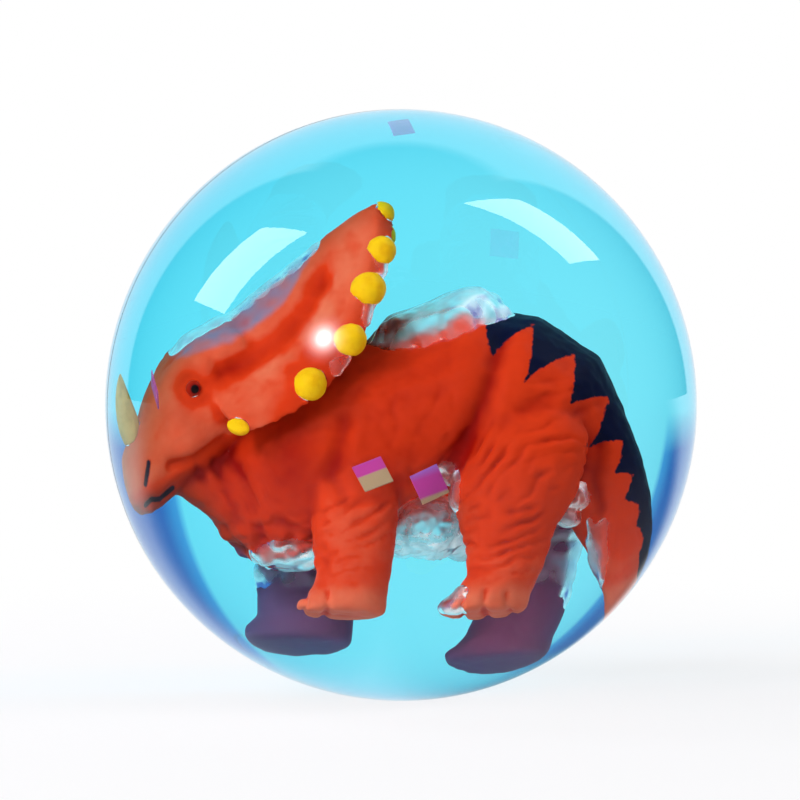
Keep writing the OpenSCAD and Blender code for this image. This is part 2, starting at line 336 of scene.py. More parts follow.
def lumps(shape: bmesh.types.BMesh) -> list[list[bmesh.types.BMVert]]:
    """Finds the separate lumps of a shape.

    Args:
        shape: The bmesh.

    Returns:
        The points of each lump.
    """
    left = set(shape.verts)
    found = []
    while left:
        lump = [left.pop()]
        # The list grows while it is walked, until no neighbour is left
        for vert in lump:
            near = {edge.other_vert(vert) for edge in vert.link_edges} & left
            left -= near
            lump.extend(near)
        found.append(lump)
    return found


def keep_skin(mesh: bpy.types.Mesh) -> None:
    """Removes what fusing left inside a shape, so that only its outer skin stays.

    Args:
        mesh: The mesh, which is changed.
    """
    shape = bmesh.new()
    shape.from_mesh(mesh)
    outer = set(max(lumps(shape), key=len))
    bmesh.ops.delete(shape, geom=[vert for vert in shape.verts if vert not in outer], context="VERTS")
    shape.to_mesh(mesh)
    shape.free()


def read_skin(mesh: bpy.types.Mesh) -> tuple[np.ndarray, np.ndarray]:
    """Reads a mesh's points and normals.

    Args:
        mesh: The mesh.

    Returns:
        The points in millimetres, and the normals.
    """
    points = np.empty(len(mesh.vertices) * 3)
    normals = np.empty(len(mesh.vertices) * 3)
    mesh.vertices.foreach_get("co", points)
    mesh.vertex_normals.foreach_get("vector", normals)
    return points.reshape(-1, 3) / MM, normals.reshape(-1, 3)


def move_skin(mesh: bpy.types.Mesh, points: np.ndarray) -> None:
    """Moves a mesh's points to places in millimetres."""
    mesh.vertices.foreach_set("co", (points * MM).ravel())
    mesh.update()


def keep_values(mesh: bpy.types.Mesh, name: str, values: np.ndarray) -> None:
    """Keeps one value for each point of a mesh, as an attribute."""
    mesh.attributes.new(name, "FLOAT", "POINT").data.foreach_set("value", values.astype(np.float32))


def eye_centre() -> tuple[float, float]:
    """Finds the middle of the eyes in the side view, in millimetres."""
    low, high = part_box("eyes")
    return (low[0] + high[0]) / 2 / MM, (low[2] + high[2]) / 2 / MM


# Fields on the skin


def step(low: float, high: float, values: np.ndarray) -> np.ndarray:
    """Rises smoothly from 0 at low to 1 at high."""
    t = np.clip((values - low) / (high - low), 0, 1)
    return t * t * (3 - 2 * t)


def bell(distance: np.ndarray, width: float) -> np.ndarray:
    """A rounded hump that is 1 at no distance and falls off over a width."""
    return np.exp(-(distance / width) ** 2)


def line_distance(points: np.ndarray, line: Line) -> np.ndarray:
    """Distance of points from a line of straight stretches.

    Args:
        points: Points of two numbers each.
        line: The line's corners.

    Returns:
        Each point's distance from the nearest stretch.
    """
    nearest = np.full(len(points), np.inf)
    for start, end in zip(np.array(line[:-1]), np.array(line[1:])):
        way = end - start
        along = np.clip((points - start) @ way / (way @ way), 0, 1)
        nearest = np.minimum(nearest, np.linalg.norm(points - start - along[:, None] * way, axis=1))
    return nearest


@dataclass(frozen=True)
class Grain:
    """Smooth noise: its strength, the size of its lumps in millimetres, and an offset that sets it apart."""

    strength: float
    size: float
    offset: float = 0.0


def grain(points: np.ndarray, *grains: Grain) -> np.ndarray:
    """Adds up kinds of noise.

    Args:
        points: Points in millimetres.
        grains: The kinds of noise.

    Returns:
        The noise at each point, within about each strength on both sides of 0.
    """
    total = np.zeros(len(points))
    for kind in grains:
        values = [noise.noise(Vector(point) / kind.size) for point in points + kind.offset]
        total += kind.strength * np.array(values)
    return total


@dataclass(frozen=True)
class Region:
    """A part of the skin with soft edges, each of which rises from 0 at its first place to 1 at its second.

    The edges lie across X, Y or Z, or across the height above a line that climbs along X by a slope.
    Places are in millimetres.
    """

    x: tuple[Edge, ...] = ()
    y: tuple[Edge, ...] = ()
    z: tuple[Edge, ...] = ()
    height: tuple[Edge, ...] = ()
    slope: float = 0.0

    def share(self, points: np.ndarray) -> np.ndarray:
        """Works out how far points lie inside the region.

        Args:
            points: The skin's points in millimetres.

        Returns:
            The share of each point, from 0 to 1.
        """
        x, y, z = points.T
        share = np.ones(len(points))
        for edges, values in ((self.x, x), (self.y, y), (self.z, z), (self.height, z - self.slope * x)):
            for low, high in edges:
                share *= step(low, high, values)
        return share


# Rubber and paint


@dataclass(frozen=True)
class CastRubber:
    """Clear rubber cast in a polished mould: it bends light like glass, and a dye deepens with its thickness.

    Where trapped air kept it off the figure, its wall set frosted.
    """

    name: str
    seen_through: str
    depth_per_m: float
    parting_axis: Vector
    bond_mm: float = 0.04
    index: float = 1.49
    roughness: float = 0.01

    def material(self) -> bpy.types.Material:
        """Builds the material.

        Returns:
            Rubber that bends light at its skin, but not where the halves are bonded.
        """
        material, shader = new_material(self.name)
        rough = shader.math("ADD", shader.attribute("frost"), self.roughness)
        skin = shader.add("BsdfPrincipled", {
            "Base Color": WHITE, "IOR": self.index, "Transmission Weight": 1.0, "Roughness": rough})
        # The bonded faces of the halves leave no edge for light to bend at
        depth = shader.vector_math("DOT_PRODUCT", shader.place(), self.parting_axis)
        bond = shader.math("LESS_THAN", shader.math("ABSOLUTE", depth), self.bond_mm * MM)
        # Lamps shine through the rubber to what is cast in it
        clear = shader.math("MAXIMUM", bond, shader.add("LightPath").outputs["Is Shadow Ray"])
        film = shader.add("BsdfTransparent")
        ends = {"Surface": shader.blend(clear, skin.outputs[0], film.outputs[0])}
        if self.depth_per_m:
            dye = {"Color": linear(self.seen_through), "Density": self.depth_per_m}
            ends["Volume"] = shader.add("VolumeAbsorption", dye).outputs[0]
        shader.add("OutputMaterial", ends)
        return material


@dataclass(frozen=True)
class PaintedVinyl:
    """Soft vinyl moulding, sprayed orange, with painted shade in its folds and painted light on its ridges, a
    navy back, painted mauve shade on the far legs and a painted lilac sheen behind the crest.
    """

    name: str = "painted_vinyl"
    painted_highlight: str = "#F28A66"
    orange: str = "#DF3C14"
    orange_at: float = 0.35
    painted_shade: str = "#980A02"
    painted_shade_at: float = 0.95
    far_shade_mauve: str = "#8E5078"
    sheen_lilac: str = "#94809C"
    navy: str = "#010B2C"
    navy_fray: float = 0.3
    ink: str = "#1C1026"
    ink_fray: float = 0.08
    edge_blur: float = 0.04
    mottle_mm: float = 1.2
    mottle_detail: float = 4.0
    mottle: float = 0.16
    fray_mm: float = 0.35
    fray_detail: float = 2.0
    roughness: float = 0.55
    shine: float = 0.08

    def material(self) -> bpy.types.Material:
        """Builds the material from the skin's own attributes.

        Returns:
            The painted skin.
        """
        material, shader = new_material(self.name)
        mottle = shader.speckle(self.mottle_mm, self.mottle_detail)
        # Painted light and shade: the tone kept in 'hollow' runs from a painted highlight through orange to
        # painted shade, with random mottle
        tone = shader.math("MULTIPLY_ADD", mottle, self.mottle, shader.attribute("hollow"))
        colour = shader.ramp(
            tone, (0.0, self.painted_highlight), (self.orange_at, self.orange), (self.painted_shade_at, self.painted_shade))
        # Painted shade on the far legs, and a painted lilac sheen behind the crest
        for attribute, paint in (("far_shade", self.far_shade_mauve), ("crest_sheen", self.sheen_lilac)):
            colour = shader.mix(shader.attribute(attribute), colour, linear(paint))
        edge = shader.speckle(self.fray_mm, self.fray_detail)
        for attribute, paint, fray in (("coat", self.navy, self.navy_fray), ("ink", self.ink, self.ink_fray)):
            reach = shader.math("MULTIPLY_ADD", edge, fray, shader.attribute(attribute))
            cover = shader.spread(reach, (fray / 2 - self.edge_blur, fray / 2 + self.edge_blur))
            colour = shader.mix(cover, colour, linear(paint))
        shader.paint(colour, self.roughness, self.shine)
        return material


@dataclass(frozen=True)
class PaintedEye:
    """An eye dabbed on by hand: a black pupil in a dark red ring, round a centre in millimetres."""

    x: float
    z: float
    name: str = "eye_paint"
    pupil: str = "#0A0406"
    ring: str = "#8E1406"
    lid: str = "#BE2A0C"
    pupil_mm: float = 0.22
    ring_mm: float = 0.5
    blur: float = 0.06
    lid_at: float = 0.6
    roughness: float = 0.35
    shine: float = 0.1

    def material(self) -> bpy.types.Material:
        """Builds the material, with its rings round the eye's own axis.

        Returns:
            The painted eye.
        """
        material, shader = new_material(self.name)
        flat = shader.vector_math("MULTIPLY", shader.place(), (1, 0, 1))
        away = shader.vector_math("DISTANCE", flat, (self.x * MM, 0, self.z * MM))
        share = shader.math("DIVIDE", away, 2 * self.ring_mm * MM)
        edge = self.pupil_mm / self.ring_mm / 2
        colour = shader.ramp(
            share, (edge, self.pupil), (edge + self.blur, self.ring), (self.lid_at, self.lid))
        shader.paint(colour, self.roughness, self.shine)
        return material


@dataclass(frozen=True)
class BrushedPaint:
    """Thick paint brushed on by hand: an even satin colour that thins a little in spots."""

    name: str
    colour: str
    thin: str
    roughness: float
    spot_mm: float = 0.8
    spot_detail: float = 3.0
    thin_at: float = 0.3
    full_at: float = 0.55
    shine: float = 0.1

    def material(self) -> bpy.types.Material:
        """Builds the material.

        Returns:
            The paint.
        """
        material, shader = new_material(self.name)
        spots = shader.speckle(self.spot_mm, self.spot_detail)
        colour = shader.ramp(spots, (self.thin_at, self.thin), (self.full_at, self.colour))
        shader.paint(colour, self.roughness, self.shine)
        return material


@dataclass(frozen=True)
class FlakeFilm:
    """Cut iridescent film with its sheen painted in: olive to magenta as each flake is slanted, and it lets
    part of the light through.
    """

    name: str = "iridescent_film"
    olive: str = "#B59A78"
    olive_until: float = 0.3
    magenta: str = "#C0409A"
    magenta_span: Edge = (0.36, 0.7)
    violet: str = "#8F7BE0"
    violet_from: float = 0.95
    roughness: float = 0.3
    shine: float = 0.1

    def material(self) -> bpy.types.Material:
        """Builds the material from the flakes' own attributes.

        Returns:
            The film.
        """
        material, shader = new_material(self.name)
        colour = shader.ramp(
            shader.attribute("sheen_tint"), (self.olive_until, self.olive),
            *((place, self.magenta) for place in self.magenta_span), (self.violet_from, self.violet))
        shader.paint(colour, self.roughness, self.shine, Alpha=shader.attribute("cover"))
        return material


# Dinosaur


@dataclass(frozen=True)
class Fold:
    """A groove in the skin along a line in the side view, or a ridge if its depth is negative.

    The line and the width are in millimetres, and so is the depth.
    """

    line: Line
    width: float
    depth: float


@dataclass(frozen=True)
class Wrinkles:
    """A patch of fine, uneven wrinkles inside a soft oval of the side view.

    The wrinkles lean from level by an angle in degrees and arch by a bend. Sizes are in millimetres.
    """

    centre: tuple[float, float]
    reach: tuple[float, float]
    lean: float
    spacing: float
    depth: float
    bend: float = 0.0
    edge: Edge = (1.0, 0.55)
    sharpness: int = 3

    def depths(self, points: np.ndarray, waver: np.ndarray) -> np.ndarray:
        """Works out how far the wrinkles sink the skin.

        Args:
            points: The skin's points in millimetres.
            waver: How far the rows of wrinkles stray at each point, as a share of their spacing.

        Returns:
            The depth of each point in millimetres.
        """
        dx, dz = points[:, 0] - self.centre[0], points[:, 2] - self.centre[1]
        lean = math.radians(self.lean)
        along = dx * math.cos(lean) + dz * math.sin(lean)
        across = dz * math.cos(lean) - dx * math.sin(lean) + self.bend * along ** 2
        patch = step(*self.edge, np.hypot(dx / self.reach[0], dz / self.reach[1]))
        valley = ((1 + np.cos(math.tau * (across / self.spacing + waver))) / 2) ** self.sharpness
        return self.depth * patch * valley


@dataclass
class Dinosaur:
    """The painted figure: one vinyl moulding with folds, toes, mouth and a pointed navy coat.

    Lines lie in the side view, and all sizes and places are in millimetres.
    """

    voxel: float = 0.16
    rounds: int = 17
    nodes: tuple[str, ...] = (
        "body", "back_coat", "head", "frill",
        "near_front_leg", "far_front_leg", "near_hind_leg", "far_hind_leg")

    # The points of the dark coat, and the tongues of orange skin between them
    coat_tips: Line = (
        (5.0, 2.8), (6.8, 1.4), (9.3, 0.1), (10.3, -2.2), (11.7, -3.7), (12.3, -5.2), (13.3, -6.8),
        (13.9, -8.6))
    skin_tips: Line = (
        (7.0, 4.3), (9.3, 2.8), (11.1, 0.5), (12.0, -1.9), (12.7, -3.8), (13.2, -5.5), (13.8, -7.3))
    coat_start: Line = ((4.3, 8.0), (4.4, 5.4), (4.7, 3.4))
    coat_outside: Line = ((14.6, -11.0), (20.0, -8.0), (18.0, 3.0), (12.0, 8.0))
    tongue_bulge: float = 0.16
    tongue_steps: int = 6

    # How far from the middle plane the folds start and are full
    flank_edge: Edge = (0.4, 1.6)
    folds: tuple[Fold, ...] = (
        Fold(((5.4, 3.4), (4.6, 0.4), (3.2, -2.6), (2.2, -4.0), (1.4, -5.4)), 0.6, 0.45),
        Fold(((-9.9, 2.0), (-8.5, 2.6), (-7.0, 3.6), (-5.5, 5.1), (-4.5, 6.9)), 0.75, 0.6),
        Fold(((-13.3, 1.5), (-12.2, 2.4), (-10.8, 2.2)), 0.5, -0.3),
        Fold(((-11.2, 2.9), (-9.2, 3.4), (-7.4, 4.4), (-6.0, 5.8), (-4.9, 7.4)), 0.5, -0.2),
        Fold(((-12.8, -3.3), (-11.2, -2.9), (-9.6, -1.9)), 0.35, 0.3),
        Fold(((-10.9, -3.6), (-10.0, -5.2)), 0.3, 0.2),
        Fold(((-9.9, -3.2), (-8.8, -6.4)), 0.35, 0.22),
        Fold(((-8.8, -3.2), (-7.6, -7.2)), 0.35, 0.2),
        Fold(((-3.1, -0.8), (-3.8, -3.7), (-3.0, -5.2), (-1.2, -5.0)), 0.55, 0.28),
        Fold(((11.0, -2.0), (10.6, -4.0), (10.9, -5.6)), 0.45, 0.3),
    )
    toes: tuple[Fold, ...] = (
        Fold(((-5.5, -10.4), (-5.7, -11.9)), 0.22, 0.28),
        Fold(((-4.3, -10.6), (-4.3, -11.9)), 0.22, 0.24),
        Fold(((3.6, -10.4), (3.3, -11.9)), 0.22, 0.28),
        Fold(((4.9, -10.6), (4.8, -11.9)), 0.22, 0.24),
        Fold(((6.2, -10.8), (6.3, -11.9)), 0.22, 0.18),
    )
    # The mouth and the nostril, which are also drawn in ink
    dashes: tuple[Fold, ...] = (
        Fold(((-14.6, -5.7), (-14.1, -5.3), (-13.4, -5.2), (-12.9, -4.8), (-12.5, -4.5)), 0.22, 0.16),
        Fold(((-14.3, -3.2), (-14.6, -4.5)), 0.25, 0.16),
    )
    dash_w: float = 0.15
    wrinkles: tuple[Wrinkles, ...] = (
        Wrinkles((6.0, -7.4), (3.6, 2.9), 10.0, 0.75, 0.22, -0.03),
        Wrinkles((4.9, -3.6), (3.6, 3.4), 48.0, 0.8, 0.22, -0.05),
        Wrinkles((8.6, -2.6), (2.8, 2.4), 5.0, 0.9, 0.18, 0.09),
        Wrinkles((8.6, 0.4), (3.0, 1.8), 12.0, 1.1, 0.11),
        Wrinkles((-2.2, -6.2), (3.0, 1.9), 28.0, 0.75, 0.2, -0.04),
        Wrinkles((-3.4, -8.7), (2.6, 1.7), 12.0, 0.8, 0.08),
        Wrinkles((-8.8, -5.0), (2.8, 2.8), -62.0, 0.8, 0.14),
        Wrinkles((1.0, -1.2), (3.2, 4.0), 78.0, 1.5, 0.07),
        Wrinkles((13.0, -8.2), (2.2, 4.6), -72.0, 0.8, 0.10),
        Wrinkles((-11.4, -1.2), (2.2, 1.8), 30.0, 1.0, 0.05),
    )
    wrinkle_waver: tuple[Grain, ...] = (Grain(0.55, 2.4, 20), Grain(0.22, 0.9, 31))
    wrinkle_share: float = 0.55
    wrinkle_most: float = 1.2
    wrinkle_patches: Grain = Grain(0.9, 1.3, 57)
    eye_ring: float = 0.85
    eye_ring_w: float = 0.3
    eye_ring_depth: float = 0.12
    skin_grain: tuple[Grain, ...] = (Grain(0.05, 0.9), Grain(0.03, 0.4, 40))
    chest_grain: tuple[Grain, ...] = (Grain(0.35, 1.0, 9), Grain(0.15, 0.45, 3))
    lumpy_chest: Region = Region(x=((-3.0, -5.0),), z=((-4.8, -7.0), (-9.6, -8.4)))

    # The soft moulding sags: blunter hind toes, a fuller far front shank and a low far hind sole
    toe_blunt: float = 0.5
    toe_tips: Region = Region(x=((4.2, 1.8), (-0.5, 0.5)), z=((-9.4, -10.6),))
    shank_full: float = 0.8
    shank_z: float = -8.6
    shank_h: float = 1.8
    far_shank: Region = Region(x=((-4.2, -6.4),), y=((1.5, 2.5),))
    sole_sag: float = 0.9
    far_sole: Region = Region(x=((-0.5, 0.5),), y=((1.5, 2.5),), z=((-7.5, -11.0),))

    # Painted shade and light in the paint's tone: a base tone everywhere, painted shade in folds by their
    # depth, painted shade on flank, chest and hips, and painted light on the head
    tone_base: float = 0.34
    shade_per_mm: float = 1.7
    light_on_ridges: float = -0.1
    shade_reach: int = 172
    painted_shades: tuple[tuple[float, Region], ...] = (
        (0.2, Region(x=((-8.0, -5.5), (6.0, 3.0)), z=((-5.5, -3.5), (5.2, 3.0)))),
        (0.3, Region(x=((-4.0, -6.0),), z=((-9.4, -8.6),), height=((3.2, 1.6),), slope=0.5)),
        (0.1, Region(x=((3.0, 6.0),), z=((-9.0, -7.0),))),
        (-0.08, Region(x=((-3.0, -5.0),), height=((-0.2, 1.0),), slope=0.4)),
    )
    eye_shade: float = 0.24
    eye_shade_w: float = 0.9
    # Painted light: the feet and the frill's rim are painted paler
    painted_light: float = 0.15
    feet: Region = Region(z=((-9.8, -11.0),))
    rim: Line = ((-7.4, 2.4), (-5.4, 3.6), (-3.4, 6.2), (-2.2, 9.0))
    rim_w: float = 1.1

    # Painted shade on the far legs, and a painted lilac sheen behind the crest
    far_legs: Region = Region(y=((0.2, 1.0),), z=((-3.6, -5.4),))
    crest: Line = (
        (-14.0, 1.6), (-12.9, 2.4), (-11.0, 3.0), (-9.1, 3.5), (-7.4, 4.5), (-6.1, 5.7), (-5.0, 7.4),
        (-3.4, 10.0))
    crest_edge: Edge = (-0.1, 0.3)
    crest_grain: Grain = Grain(0.15, 0.6, 60)
    behind_crest: Region = Region(x=((-2.6, -4.0),))
    sheen_share: float = 0.75
    sheen_least: float = 0.3
    sheen_streaks: Grain = Grain(0.5, 0.8, 65)

    def build(self) -> bpy.types.Object:
        """Builds and paints the figure.

        Returns:
            The figure.
        """
        mesh = fused(to_mesh(solid_copy(self.nodes), "dinosaur"), self.voxel, self.rounds)
        keep_skin(mesh)
        points, normals = read_skin(mesh)
        move_skin(mesh, points + normals * self.relief(points)[:, None] + self.sag(points))
        points, normals = read_skin(mesh)
        side = points[:, [0, 2]]
        ink = np.minimum.reduce([line_distance(side, dash.line) for dash in self.dashes])
        # The paint's tone, with painted shade in folds and painted light on ridges, kept as 'hollow'
        keep_values(mesh, "hollow", self.painted_shade(mesh, points, normals))
        keep_values(mesh, "coat", self.coat_reach(side))
        # Painted shade on the far legs
        keep_values(mesh, "far_shade", self.far_legs.share(points))
        # Painted lilac sheen behind the crest
        keep_values(mesh, "crest_sheen", self.crest_sheen(points))
        keep_values(mesh, "ink", self.dash_w - ink)
        return settle(new_piece("dinosaur", mesh, PaintedVinyl().material()), "orange_vinyl", *self.nodes)

    def sag(self, points: np.ndarray) -> np.ndarray:
        """Works out where the soft moulding sags.

        Args:
            points: The skin's points in millimetres.

        Returns:
            The move of each point in millimetres.
        """
        toes = self.toe_blunt * self.toe_tips.share(points)
        shank = self.shank_full * self.far_shank.share(points)
        shank *= bell(points[:, 2] - self.shank_z, self.shank_h)
        sole = self.sole_sag * self.far_sole.share(points)
        return np.stack([toes - shank, np.zeros(len(points)), -sole], axis=1)

    def eye_distance(self, points: np.ndarray) -> np.ndarray:
        """Measures how far points lie from the middle of the eyes in the side view."""
        x, z = eye_centre()
        return np.hypot(points[:, 0] - x, points[:, 2] - z)

    def relief(self, points: np.ndarray) -> np.ndarray:
        """Works out how far each point of the skin rises or sinks.

        Args:
            points: The skin's points in millimetres.

        Returns:
            The rise of each point in millimetres.
        """
        y, side = points[:, 1], points[:, [0, 2]]
        flank = step(*self.flank_edge, np.abs(y))
        near = step(*self.flank_edge, -y)
        lift = grain(points, *self.skin_grain)
        lift += self.lumpy_chest.share(points) * grain(points, *self.chest_grain)
        for folds, share in ((self.folds, flank), (self.toes, near), (self.dashes, 1.0)):
            for fold in folds:
                lift -= fold.depth * share * bell(line_distance(side, fold.line), fold.width)
        waver = grain(points, *self.wrinkle_waver)
        uneven = np.clip(self.wrinkle_share + grain(points, self.wrinkle_patches), 0, self.wrinkle_most)
        for patch in self.wrinkles:
            lift -= flank * uneven * patch.depths(points, waver)
        ring = bell(self.eye_distance(points) - self.eye_ring, self.eye_ring_w)
        return lift - self.eye_ring_depth * flank * ring

    def painted_shade(self, mesh: bpy.types.Mesh, points: np.ndarray, normals: np.ndarray) -> np.ndarray:
        """Works out the paint's tone of painted shade and light, mostly from how far the skin sinks below its
        surroundings.

        Args:
            mesh: The figure's mesh.
            points: The skin's points in millimetres.
            normals: The skin's normals.

        Returns:
            The tone at each point, from 0 for painted light to 1 for painted shade.
        """
        even = finished_mesh(
            mesh.copy(), [("SMOOTH", {"factor": SMOOTH_FACTOR, "iterations": self.shade_reach})])
        sunk = ((read_skin(even)[0] - points) * normals).sum(axis=1)
        bpy.data.meshes.remove(even)
        # Painted shade where the skin sinks, painted light on ridges, and painted shade round the eye
        tone = self.tone_base + np.maximum(self.shade_per_mm * sunk, self.light_on_ridges)
        for strength, region in self.painted_shades:
            tone += strength * region.share(points)
        tone += self.eye_shade * bell(self.eye_distance(points), self.eye_shade_w)
        # Painted light: paler tone on the feet and the frill's rim
        rim = bell(line_distance(points[:, [0, 2]], self.rim), self.rim_w)
        return np.clip(tone - self.painted_light * np.maximum(self.feet.share(points), rim), 0, 1)

    def crest_sheen(self, points: np.ndarray) -> np.ndarray:
        """Works out where the painted lilac sheen behind the crest lies.

        Args:
            points: The skin's points in millimetres.

        Returns:
            The painted sheen at each point, from 0 to 1.
        """
        over = points[:, 2] - np.interp(points[:, 0], *zip(*self.crest)) + grain(points, self.crest_grain)
        streaks = np.clip(self.sheen_share + grain(points, self.sheen_streaks), self.sheen_least, 1)
        return step(*self.crest_edge, over) * self.behind_crest.share(points) * streaks

    def coat_reach(self, side: np.ndarray) -> np.ndarray:
        """Works out how far each point lies inside the flame-like edge of the dark coat.

        Args:
            side: The skin's points in the side view, in millimetres.

        Returns:
            The distance from the edge, above 0 inside the coat.
        """
        edge = list(self.coat_start)
        for dark, skin, after in zip(self.coat_tips, self.skin_tips, self.coat_tips[1:]):
            edge += self.bulged(dark, skin) + self.bulged(skin, after)
        edge.append(self.coat_tips[-1])
        ring = edge + list(self.coat_outside) + [edge[0]]
        inside = np.zeros(len(side), bool)
        for (ax, az), (bx, bz) in zip(ring[:-1], ring[1:]):
            crosses = (az > side[:, 1]) != (bz > side[:, 1])
            with np.errstate(divide="ignore", invalid="ignore"):
                inside ^= crosses & (side[:, 0] < (bx - ax) * (side[:, 1] - az) / (bz - az) + ax)
        distance = line_distance(side, tuple(edge))
        return np.where(inside, distance, -distance)

    def bulged(self, start: tuple[float, float], end: tuple[float, float]) -> list[tuple[float, float]]:
        """Bends one side of a tongue of skin outwards.

        Args:
            start: The side's first point.
            end: The side's last point.

        Returns:
            Points from the start up to the end, without the end.
        """
        way = np.subtract(end, start)
        middle = np.add(start, end) / 2 + self.tongue_bulge * np.array([-way[1], way[0]])
        steps = [i / self.tongue_steps for i in range(self.tongue_steps)]
        return [
            tuple((1 - t) ** 2 * np.array(start) + 2 * t * (1 - t) * middle + t ** 2 * np.array(end))
            for t in steps]


@dataclass
class PaintedTrim:
    """The yellow horn, studs and spikes and the painted eyes, each rounded from its solid."""

    voxel: float = 0.09
    rounds: int = 8
    yellow: BrushedPaint = BrushedPaint("yellow_paint", "#FFCE12", "#F4B60A", 0.45)
    horn: BrushedPaint = BrushedPaint("horn_paint", "#E0A458", "#CA8E44", 0.5)

    def build(self) -> list[bpy.types.Object]:
        """Builds the painted pieces.

        Returns:
            The studs, spikes, horn and eyes.
        """
        yellow = self.yellow.material()
        plan = (
            ("frill_stud_caps", "frill_studs", "yellow_paint", yellow),
            ("cheek_spike_pegs", "cheek_spikes", "yellow_paint", yellow),
            ("nose_horn_cone", "nose_horn", "yellow_paint", self.horn.material()),
            ("eye_beads", "eyes", "black_paint", PaintedEye(*eye_centre()).material()),
        )
        pieces = []
        for name, node, slot, finish in plan:
            mesh = fused(to_mesh(solid_copy([node]), name), self.voxel, self.rounds)
            pieces.append(settle(new_piece(name, mesh, finish), slot, node))
        return pieces


@dataclass(frozen=True)
class FlakeLook:
    """How a flake catches the light, painted into its colour: its sheen tint, how the tint turns across it,
    and how much it covers.
    """

    sheen_tint: float
    turn: float
    cover: float


@dataclass
class Glitter:
    """Square flakes of iridescent film that float in the clear half."""

    corner: float = 0.02
    corner_steps: int = 2
    flat_angle: float = 0.02
    crease: float = 40.0
    turn_way: Point = (-0.36, 0.0, 0.93)
    # In their order from the dinosaur's nose to its tail
    looks: tuple[FlakeLook, ...] = (
        FlakeLook(0.75, 0.0, 0.55), FlakeLook(0.27, 0.6, 0.95), FlakeLook(1.0, 0.0, 0.35),
        FlakeLook(0.55, 0.35, 0.9), FlakeLook(0.95, 0.0, 0.06))

    def build(self) -> bpy.types.Object:
        """Builds the flakes from their solids, with softened edges.

        Returns:
            The flakes.
        """
        shape = solid_copy(["glitter_flakes"])
        bmesh.ops.dissolve_limit(shape, angle_limit=self.flat_angle, verts=shape.verts, edges=shape.edges)
        bmesh.ops.bevel(
            shape, geom=list(shape.edges), offset=self.corner * MM, offset_type="OFFSET", affect="EDGES",
            segments=self.corner_steps, profile=0.5, material=-1)
        shape.verts.index_update()
        flakes = [sorted(vert.index for vert in lump) for lump in lumps(shape)]
        mesh = to_mesh(shape, "glitter_squares")
        mesh.set_sharp_from_angle(angle=math.radians(self.crease))
        points = read_skin(mesh)[0]
        sheen_tint, cover = np.empty(len(points)), np.empty(len(points))
        flakes.sort(key=lambda flake: points[flake, 0].mean())
        # Each flake's iridescent sheen is painted in, as a tint that turns across it
        for look, flake in zip(self.looks, flakes):
            across = (points[flake] - points[flake].mean(axis=0)) @ np.array(self.turn_way)
            sheen_tint[flake] = look.sheen_tint + look.turn * across
            cover[flake] = look.cover
        keep_values(mesh, "sheen_tint", sheen_tint)
        keep_values(mesh, "cover", cover)
        piece = new_piece("glitter_squares", mesh, FlakeFilm().material())
        return settle(piece, "flake_film", "glitter_flakes")


# Air and rubber


@dataclass(frozen=True)
class AirFilm:
    """Air trapped on the skin inside a soft, ragged oval, where the rubber stands off by a gap.

    All sizes are in millimetres.
    """

    centre: Point
    reach: Point
    gap: float
    ragged: float = 0.3
    edge: Edge = (1.0, 0.6)

    def stand_off(self, points: np.ndarray, tear: np.ndarray) -> np.ndarray:
        """Works out how far the rubber stands off the skin, with the oval's edge torn by noise."""
        away = np.linalg.norm((points - self.centre) / self.reach, axis=1)
        return self.gap * step(*self.edge, away + self.ragged * tear)


@dataclass(frozen=True)
class AirBubble:
    """A lump of trapped air beside the figure: its centre and its half sizes in millimetres."""

    centre: Point
    radii: Point


